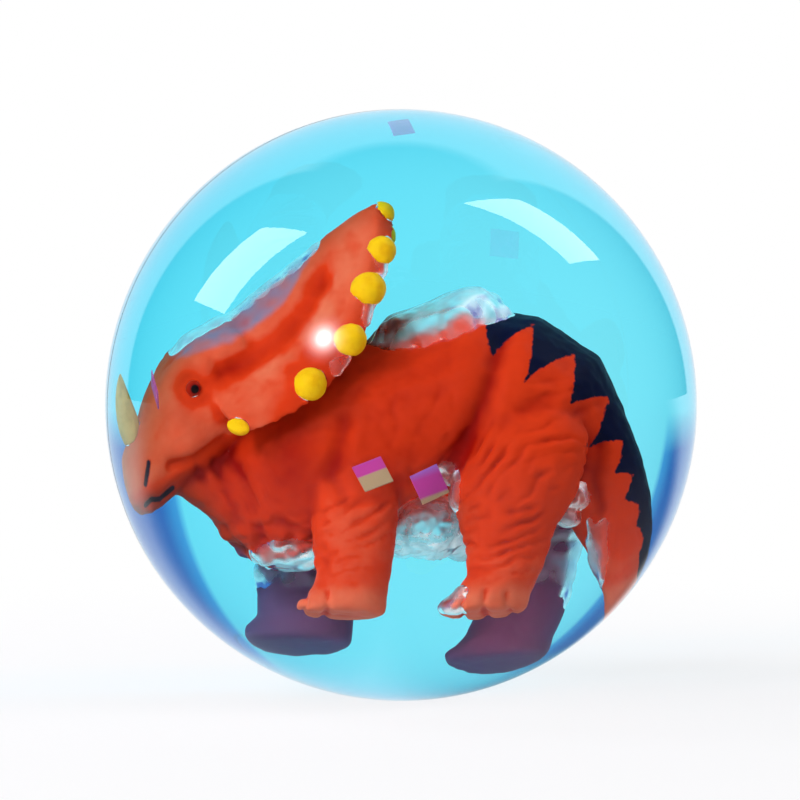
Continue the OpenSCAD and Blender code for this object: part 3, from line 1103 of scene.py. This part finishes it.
@dataclass
class Hollow:
    """The space that the figure leaves in the rubber, with the air that was trapped on it."""

    voxel: float = 0.14
    rounds: int = 2
    bond: float = 0.08
    trim_bond: float = 0.04
    films: tuple[AirFilm, ...] = (
        # Over the back
        AirFilm((1.6, 0.0, 4.6), (4.4, 3.5, 2.7), 1.2, 0.1),
        # Along the crest
        *(AirFilm((x, 0.6, z), (1.5, 2.8, 1.3), 0.2, 0.0) for x, z in (
            (-12.6, 3.6), (-11.8, 4.1), (-11.0, 4.5), (-10.2, 4.9), (-9.4, 5.3), (-8.6, 5.8), (-7.8, 6.4),
            (-7.0, 7.0), (-6.2, 7.7), (-5.4, 8.5))),
        # On the legs in the blue half
        AirFilm((-4.6, 5.2, -7.2), (4.4, 4.0, 3.6), 0.2, 0.1),
        AirFilm((6.4, 5.2, -7.0), (4.8, 4.0, 4.4), 0.2, 0.1),
        # Under the chest, on a toe, in the groin and before the tail
        AirFilm((-5.8, -1.5, -8.0), (2.4, 3.0, 1.0), 0.35),
        AirFilm((3.0, -5.0, -11.0), (1.2, 1.6, 1.2), 0.25),
        AirFilm((2.6, -4.2, -4.3), (0.8, 1.6, 1.7), 0.35),
        AirFilm((10.8, -1.0, -8.0), (1.0, 2.5, 3.0), 0.3),
        # Behind the rim of the frill
        AirFilm((-0.8, -2.0, 7.8), (0.8, 1.6, 1.9), 0.25),
        AirFilm((-1.5, -3.6, 5.2), (0.8, 1.6, 1.6), 0.25),
        AirFilm((-3.2, -4.6, 2.2), (1.2, 1.4, 0.8), 0.2),
    )
    film_grain: tuple[Grain, ...] = (Grain(1.0, 1.1, 70), Grain(0.5, 0.45, 80))
    bubbles: tuple[AirBubble, ...] = (
        AirBubble((1.5, -0.8, -6.2), (2.2, 2.9, 1.8)),
        AirBubble((0.1, -0.6, -6.2), (1.4, 2.2, 1.7)),
        AirBubble((3.0, 0.4, -6.2), (1.3, 2.2, 1.8)),
        AirBubble((8.4, -2.5, -4.9), (1.2, 0.8, 0.6)),
        AirBubble((9.4, -2.0, -4.8), (0.8, 0.8, 0.8)),
        AirBubble((9.0, -1.8, -6.1), (0.7, 0.7, 0.6)),
    )
    bubble_cuts: int = 4
    # How far from a bubble's centre, in its half sizes, its wall ends and is full
    bubble_edge: Edge = (1.4, 1.1)
    bubble_grain: tuple[Grain, ...] = (Grain(0.12, 0.35, 5), Grain(0.12, 0.6, 10), Grain(0.12, 1.3, 15))
    # The frost on the walls of films and bubbles, and its streaks
    frost: float = 0.62
    frost_gap: Edge = (0.06, 0.16)
    bubble_frost: float = 1.3
    streak_share: float = 0.8
    streak_least: float = 0.1
    streaks: Grain = Grain(0.7, 0.7, 25)

    def build(self, figure: bpy.types.Object, trim: Sequence[bpy.types.Object]) -> bpy.types.Object:
        """Builds the hollow round the finished figure.

        Args:
            figure: The finished figure.
            trim: The painted pieces on it.

        Returns:
            A closed shape to cut from the rubber.
        """
        gap = self.gap(read_skin(figure.data)[0])
        shape = bmesh.new()
        for piece, offset in [(figure, gap - self.bond)] + [(piece, -self.trim_bond) for piece in trim]:
            copy = piece.data.copy()
            points, normals = read_skin(copy)
            move_skin(copy, points + normals * np.reshape(offset, (-1, 1)))
            shape.from_mesh(copy)
            bpy.data.meshes.remove(copy)
        for bubble in self.bubbles:
            place = Matrix.LocRotScale(Vector(bubble.centre) * MM, None, Vector(bubble.radii) * MM)
            bmesh.ops.create_icosphere(shape, subdivisions=self.bubble_cuts, radius=1.0, matrix=place)
        mesh = fused(to_mesh(shape, "hollow"), self.voxel, self.rounds)
        keep_skin(mesh)
        self.uneven(mesh)
        hollow = bpy.data.objects.new("hollow", mesh)
        bpy.context.scene.collection.objects.link(hollow)
        return hollow

    def gap(self, points: np.ndarray) -> np.ndarray:
        """Works out the widest gap of the films at each point, in millimetres."""
        tear = grain(points, *self.film_grain)
        return np.maximum.reduce([film.stand_off(points, tear) for film in self.films])

    def uneven(self, mesh: bpy.types.Mesh) -> None:
        """Makes the bubbles lumpy, and keeps how frosted the wall of trapped air is.

        Args:
            mesh: The hollow's mesh, which is changed.
        """
        points, normals = read_skin(mesh)
        share = np.zeros(len(points))
        for bubble in self.bubbles:
            away = np.linalg.norm((points - bubble.centre) / bubble.radii, axis=1)
            share = np.maximum(share, step(*self.bubble_edge, away))
        air = np.maximum(self.bubble_frost * share, step(*self.frost_gap, self.gap(points)))
        streaks = np.clip(self.streak_share + grain(points, self.streaks), self.streak_least, 1)
        keep_values(mesh, "frost", self.frost * air * streaks)
        rise = share * grain(points, *self.bubble_grain)
        move_skin(mesh, points + normals * rise[:, None])


@dataclass
class Ball:
    """Two bonded halves of cast rubber, with a fine moulding seam round the rim.

    Sizes are in millimetres and angles in degrees.
    """

    radius: float
    seam_turn: float = 12.0
    seam_tilt: float = 4.0
    seam_depth: float = 0.12
    seam_w: float = 0.2
    bond_gap: float = 0.02
    weld: float = 0.0005
    arc_steps: int = 96
    turns: int = 256
    blue: str = "#00F3FF"
    blue_per_m: float = 80.0
    crease: float = 50.0

    def turn(self) -> Matrix:
        """How the parting plane is turned from the dinosaur's own plane."""
        about_z = Matrix.Rotation(math.radians(self.seam_turn), 4, "Z")
        return about_z @ Matrix.Rotation(math.radians(self.seam_tilt), 4, "X")

    def half(self, side: Side, name: str, hollow: bpy.types.Object) -> bpy.types.Mesh:
        """Spins the outline of a half about the axis of the parting plane, and cuts the hollow from it.

        Args:
            side: Which half.
            name: The mesh's name.
            hollow: The space that the figure and its air take up.

        Returns:
            The closed half, in place.
        """
        shape = bmesh.new()
        rim = math.asin(self.seam_w / 2 / self.radius)
        outline = [
            (math.sin(a) * self.radius, math.cos(a) * self.radius)
            for a in (i / self.arc_steps * (math.pi / 2 - rim) for i in range(self.arc_steps + 1))]
        outline += [(self.radius - self.seam_depth, self.bond_gap / 2), (0.0, self.bond_gap / 2)]
        verts = [shape.verts.new((r * MM, side.value * h * MM, 0)) for r, h in outline]
        edges = [shape.edges.new(pair) for pair in zip(verts[:-1], verts[1:])]
        bmesh.ops.spin(
            shape, geom=verts + edges, axis=(0, 1, 0), cent=(0, 0, 0), angle=math.tau, steps=self.turns,
            use_merge=True, use_duplicate=False)
        bmesh.ops.remove_doubles(shape, verts=shape.verts, dist=self.weld * MM)
        bmesh.ops.recalc_face_normals(shape, faces=shape.faces)
        bmesh.ops.transform(shape, matrix=self.turn(), verts=shape.verts)
        mesh = finished_mesh(to_mesh(shape, name), [
            ("BOOLEAN", {"operation": "DIFFERENCE", "solver": "MANIFOLD", "object": hollow}),
        ])
        mesh.set_sharp_from_angle(angle=math.radians(self.crease))
        self.frost(mesh, hollow.data)
        return mesh

    def frost(self, mesh: bpy.types.Mesh, space: bpy.types.Mesh) -> None:
        """Copies the frost of the hollow's wall to the rubber, and leaves its outside clear.

        Args:
            mesh: The half's mesh, which is changed.
            space: The hollow's mesh.
        """
        tree = kdtree.KDTree(len(space.vertices))
        for vert in space.vertices:
            tree.insert(vert.co, vert.index)
        tree.balance()
        wall = space.attributes["frost"].data
        values = np.zeros(len(mesh.vertices))
        for vert in mesh.vertices:
            if vert.co.length < (self.radius - 2 * self.seam_depth) * MM:
                values[vert.index] = wall[tree.find(vert.co)[1]].value
        if "frost" in mesh.attributes:
            mesh.attributes.remove(mesh.attributes["frost"])
        keep_values(mesh, "frost", values)

    def build(self, hollow: bpy.types.Object) -> list[bpy.types.Object]:
        """Builds both halves.

        Args:
            hollow: The space that the figure and its air take up, which is used up.

        Returns:
            The clear half and the blue half.
        """
        axis = self.turn() @ Vector((0, -1, 0))
        clear = CastRubber("clear_cast_rubber", "#FFFFFF", 0.0, axis)
        blue = CastRubber("blue_cast_rubber", self.blue, self.blue_per_m, axis)
        plan = (
            (Side.NEAR, "rubber_clear_half", clear, "clear_rubber", "clear_half"),
            (Side.FAR, "rubber_blue_half", blue, "blue_rubber", "blue_half"),
        )
        halves = [
            settle(new_piece(name, self.half(side, name, hollow), rubber.material()), slot, node)
            for side, name, rubber, slot, node in plan
        ]
        space = hollow.data
        bpy.data.objects.remove(hollow)
        bpy.data.meshes.remove(space)
        return halves


# Studio


class LampShape(Enum):
    """The outline of a lamp's face."""

    BOX = "RECTANGLE"
    DISC = "DISK"


@dataclass(frozen=True)
class Lamp:
    """A lamp with a flat face: its place and size in millimetres, and the directions of its face's sides.

    Without those directions it faces the ball.
    """

    name: str
    place: Point
    wide: float
    high: float
    watts: float
    shape: LampShape = LampShape.BOX
    across: Point | None = None
    up: Point | None = None
    mirrored: bool = True
    peak: float = 0.0

    def hang(self) -> None:
        """Hangs the lamp in the studio."""
        light = bpy.data.lights.new(self.name, "AREA")
        light.shape = self.shape.value
        light.size, light.size_y = self.wide * MM, self.high * MM
        light.energy = self.watts
        if self.peak:
            self.fade(light)
        lamp = bpy.data.objects.new(self.name, light)
        place = Vector(self.place)
        turn = place.to_track_quat("Z", "Y").to_matrix()
        if self.across and self.up:
            across = Vector(self.across).normalized()
            facing = across.cross(Vector(self.up)).normalized()
            turn = Matrix((across, facing.cross(across), facing)).transposed()
        lamp.matrix_world = Matrix.Translation(place * MM) @ turn.to_4x4()
        lamp.visible_glossy = self.mirrored
        lamp.visible_transmission = False
        lamp.visible_camera = False
        bpy.context.scene.collection.objects.link(lamp)

    def fade(self, light: bpy.types.Light) -> None:
        """Lets the lamp fade from its bright middle to its edge, faster for a higher peak.

        Args:
            light: The lamp's light, which is changed.
        """
        shader = Shader.on(light)
        face = shader.add("NewGeometry").outputs["Parametric"]
        away = shader.vector_math("DISTANCE", face, (0.5, 0.5, 0.0))
        glow = shader.math("POWER", shader.spread(away, (0.0, 0.5), (1.0, 0.0)), self.peak)
        lit = shader.add("Emission", {"Color": WHITE, "Strength": glow})
        shader.add("OutputLight", {"Surface": lit.outputs[0]})


@dataclass
class Studio:
    """White floor and backdrop, soft lamps, unlit sides, and the camera. Sizes are in millimetres."""

    radius: float
    camera_distance: float = 240.0
    camera_clip: float = 1.0
    elevation: float = 2.0
    ball_px: float = 296.0
    centre_px: tuple[float, float] = (401.0, 405.0)
    sensor: float = 36.0
    ambient: float = 0.3
    lamps: tuple[Lamp, ...] = (
        Lamp("softbox_left", (-304, -6, 284), 198, 232, 0.98,
             across=(0.71, -0.629, -0.318), up=(0.354, -0.071, 0.933)),
        Lamp("softbox_right", (239, 58, 318), 224, 223, 0.94,
             across=(0.416, 0.094, -0.905), up=(0.692, 0.613, 0.382)),
        Lamp("key", (-196, -330, 182), 205, 205, 7.4, LampShape.DISC, peak=5.0),
        Lamp("key_wide", (-360, -250, 230), 150, 150, 1.4, mirrored=False),
    )
    floor_size: float = 6000.0
    floor_matt: str = "#ECEAF2"
    # The floor's shadow reaches this far from the ball's foot, and leaves this share of its glow
    shadow_reach: Edge = (30.0, 110.0)
    shadow_glow: float = 0.75
    # Where the floor that the ball mirrors fades, towards the camera and into the unlit sides
    front_fade: Edge = (-60.0, -18.0)
    side_fade: Edge = (0.16, 0.45)
    # Two sides of the studio have no white backdrop, past planes through the ball's centre that face this way
    dark_sides: tuple[Point, Point] = ((0.827, -0.549, -0.12), (-0.66, -0.74, 0.12))
    side_edge: str = "#9CB4E4"
    side_deep: str = "#7A78BE"
    unlit: str = "#000000"
    # How far past its plane a side starts and deepens, as a share of the direction
    side_start: Edge = (0.0, 0.04)
    side_depth: Edge = (0.02, 0.16)
    # The heights between which a side is dark, and where a mirrored backdrop ends, as shares of the direction
    side_foot: Edge = (0.0, 0.12)
    side_top: Edge = (0.78, 0.9)
    backdrop_top: Edge = (0.82, 0.88)

    def build(self) -> None:
        """Sets up the floor, the lamps, the world and the camera."""
        self.floor()
        for lamp in self.lamps:
            lamp.hang()
        self.world()
        self.camera()

    def floor(self) -> None:
        """Lays a white floor that keeps a soft shadow round the ball, and is unlit towards the camera."""
        shape = bmesh.new()
        bmesh.ops.create_grid(
            shape, x_segments=1, y_segments=1, size=self.floor_size * MM / 2,
            matrix=Matrix.Translation((0, 0, -self.radius * MM)))
        material, shader = new_material("white_floor")
        place = shader.place()
        path = shader.add("LightPath")
        shadow = tuple(reach * MM for reach in self.shadow_reach)
        away = shader.vector_math("LENGTH", place)
        share = shader.spread(away, shadow, (self.shadow_glow, 1.0), smooth=True)
        factor = shader.math("MULTIPLY", share, self.looked_at(shader, path))
        # What the ball's front mirrors of the floor fades towards the camera and the unlit sides
        along = shader.add("SeparateXYZ", {0: place}).outputs["Y"]
        front = shader.spread(along, tuple(reach * MM for reach in self.front_fade), smooth=True)
        reach = self.side_reach(shader, shader.vector_math("NORMALIZE", place))
        middle = shader.spread(reach, self.side_fade, (1.0, 0.0), smooth=True)
        plain = shader.math("SUBTRACT", 1.0, path.outputs["Is Reflection Ray"])
        bright = shader.math("MAXIMUM", shader.math("MULTIPLY", front, middle), plain)
        matt = shader.add("BsdfDiffuse", {"Color": linear(self.floor_matt)})
        glow = shader.add("Emission", {"Color": WHITE, "Strength": bright})
        surface = shader.blend(factor, matt.outputs[0], glow.outputs[0])
        shader.add("OutputMaterial", {"Surface": surface})
        floor = new_piece("floor", to_mesh(shape, "floor"), material)

    @staticmethod
    def looked_at(shader: Shader, path: bpy.types.Node) -> Socket:
        """Tells what is seen, straight or through the ball or in it, from what only lights the figure.

        Args:
            shader: The node tree.
            path: Its Light Path node.

        Returns:
            A socket that is 1 for what is seen.
        """
        seen = path.outputs["Is Camera Ray"]
        for name in ("Is Glossy Ray", "Is Transmission Ray"):
            seen = shader.math("MAXIMUM", seen, path.outputs[name])
        first = shader.math("LESS_THAN", path.outputs["Diffuse Depth"], 0.5)
        return shader.math("MULTIPLY", seen, first)

    def side_reach(self, shader: Shader, way: Socket) -> Socket:
        """Works out how far a direction points past the unlit sides' planes, above 0 past either one."""
        past = [shader.vector_math("DOT_PRODUCT", way, side) for side in self.dark_sides]
        return shader.math("MAXIMUM", *past)

    def world(self) -> None:
        """Sets a white backdrop with unlit sides: violet where the ball bends them, black in its mirror."""
        world = bpy.data.worlds.new("studio")
        bpy.context.scene.world = world
        shader = Shader.on(world)
        way = shader.place("Generated")
        path = shader.add("LightPath")
        height = shader.add("SeparateXYZ", {0: way}).outputs["Z"]
        reach = self.side_reach(shader, way)
        edge = shader.spread(reach, self.side_start)
        deep = shader.spread(reach, self.side_depth, smooth=True)
        # The sides reach from the floor to above the ball, where the lamps light the ceiling
        foot = shader.spread(height, self.side_foot)
        top = shader.spread(height, self.side_top, (1.0, 0.0))
        dark = shader.math("MULTIPLY", edge, shader.math("MULTIPLY", foot, top))
        tone = shader.mix(deep, linear(self.side_edge), linear(self.side_deep))
        bent = shader.mix(dark, WHITE, tone)
        # In a mirror the backdrop is white behind the ball, up to a height, and the rest is unlit
        ceiling = shader.spread(height, self.backdrop_top)
        mirror = shader.mix(shader.math("MAXIMUM", edge, ceiling), WHITE, linear(self.unlit))
        lit = shader.mix(path.outputs["Is Reflection Ray"], bent, mirror)
        colour = shader.mix(path.outputs["Is Camera Ray"], lit, WHITE)
        seen = shader.add("Background", {"Color": colour, "Strength": 1.0})
        soft = shader.add("Background", {"Color": WHITE, "Strength": self.ambient})
        surface = shader.blend(self.looked_at(shader, path), soft.outputs[0], seen.outputs[0])
        shader.add("OutputWorld", {"Surface": surface})

    def camera(self) -> None:
        """Sets the camera so that the ball has the photograph's size and place in the frame."""
        tangent = math.tan(math.asin(self.radius / self.camera_distance))
        data = bpy.data.cameras.new("camera")
        data.sensor_width = self.sensor
        data.lens = self.ball_px * self.sensor / IMAGE_PX / tangent
        data.clip_start = self.camera_clip * MM
        px_mm = self.camera_distance * self.sensor / (data.lens * IMAGE_PX)
        aim = Vector((
            (IMAGE_PX / 2 - self.centre_px[0]) * px_mm, 0, (self.centre_px[1] - IMAGE_PX / 2) * px_mm)) * MM
        pitch = math.radians(self.elevation)
        back = Vector((0, -math.cos(pitch), math.sin(pitch)))
        camera = bpy.data.objects.new("camera", data)
        turn = back.to_track_quat("Z", "Y").to_matrix().to_4x4()
        camera.matrix_world = Matrix.Translation(aim + back * self.camera_distance * MM) @ turn
        bpy.context.scene.collection.objects.link(camera)
        bpy.context.scene.camera = camera


def main() -> None:
    """Builds the ball, what is cast in it and the studio."""
    logging.basicConfig(level=logging.INFO, format="%(name)s %(message)s")
    radius = -frame["record"]["mounts"][0]["pos_m"][2] / MM
    bpy.context.scene.view_settings.view_transform = "Standard"
    Studio(radius).build()
    figure = Dinosaur().build()
    trim = PaintedTrim().build()
    Glitter().build()
    Ball(radius).build(Hollow().build(figure, trim))


if __name__ == "__main__":
    main()
